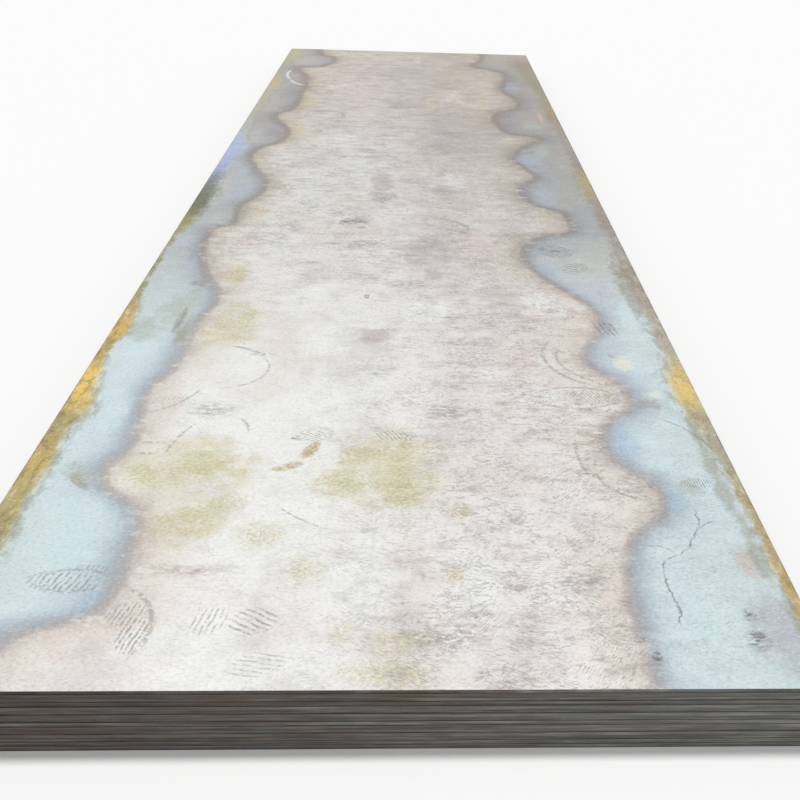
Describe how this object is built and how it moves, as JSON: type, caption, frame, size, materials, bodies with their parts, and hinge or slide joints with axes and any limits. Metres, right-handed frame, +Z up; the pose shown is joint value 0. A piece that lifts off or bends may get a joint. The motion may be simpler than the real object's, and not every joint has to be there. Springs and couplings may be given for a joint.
{
  "type": "stack of flat steel plates",
  "caption": "Long low stack of flat rolled steel plates with sheared ends, laid face to face, the top face heat tinted along both long edges.",
  "frame": {"origin": "on the ground under the middle of the stack", "axes": "+Y along the sheets, away from the end that faces the viewer, +X across them, +Z up through the stack"},
  "size_m": [1.5116, 6.0034, 0.12],
  "materials": {
    "tinted_steel": "satin",
    "stack_steel": "satin"
  },
  "bodies": {
    "root": {"sheet_01": "stack_steel", "sheet_02": "stack_steel", "sheet_03": "stack_steel", "sheet_04": "stack_steel", "sheet_05": "stack_steel", "sheet_06": "stack_steel", "sheet_07": "stack_steel", "sheet_08": "stack_steel", "sheet_09": "stack_steel", "sheet_10": "stack_steel", "sheet_11": "stack_steel", "sheet_12": "stack_steel", "sheet_13": "stack_steel", "sheet_14": "stack_steel", "top_sheet": "tinted_steel"}
  },
  "joints": []
}
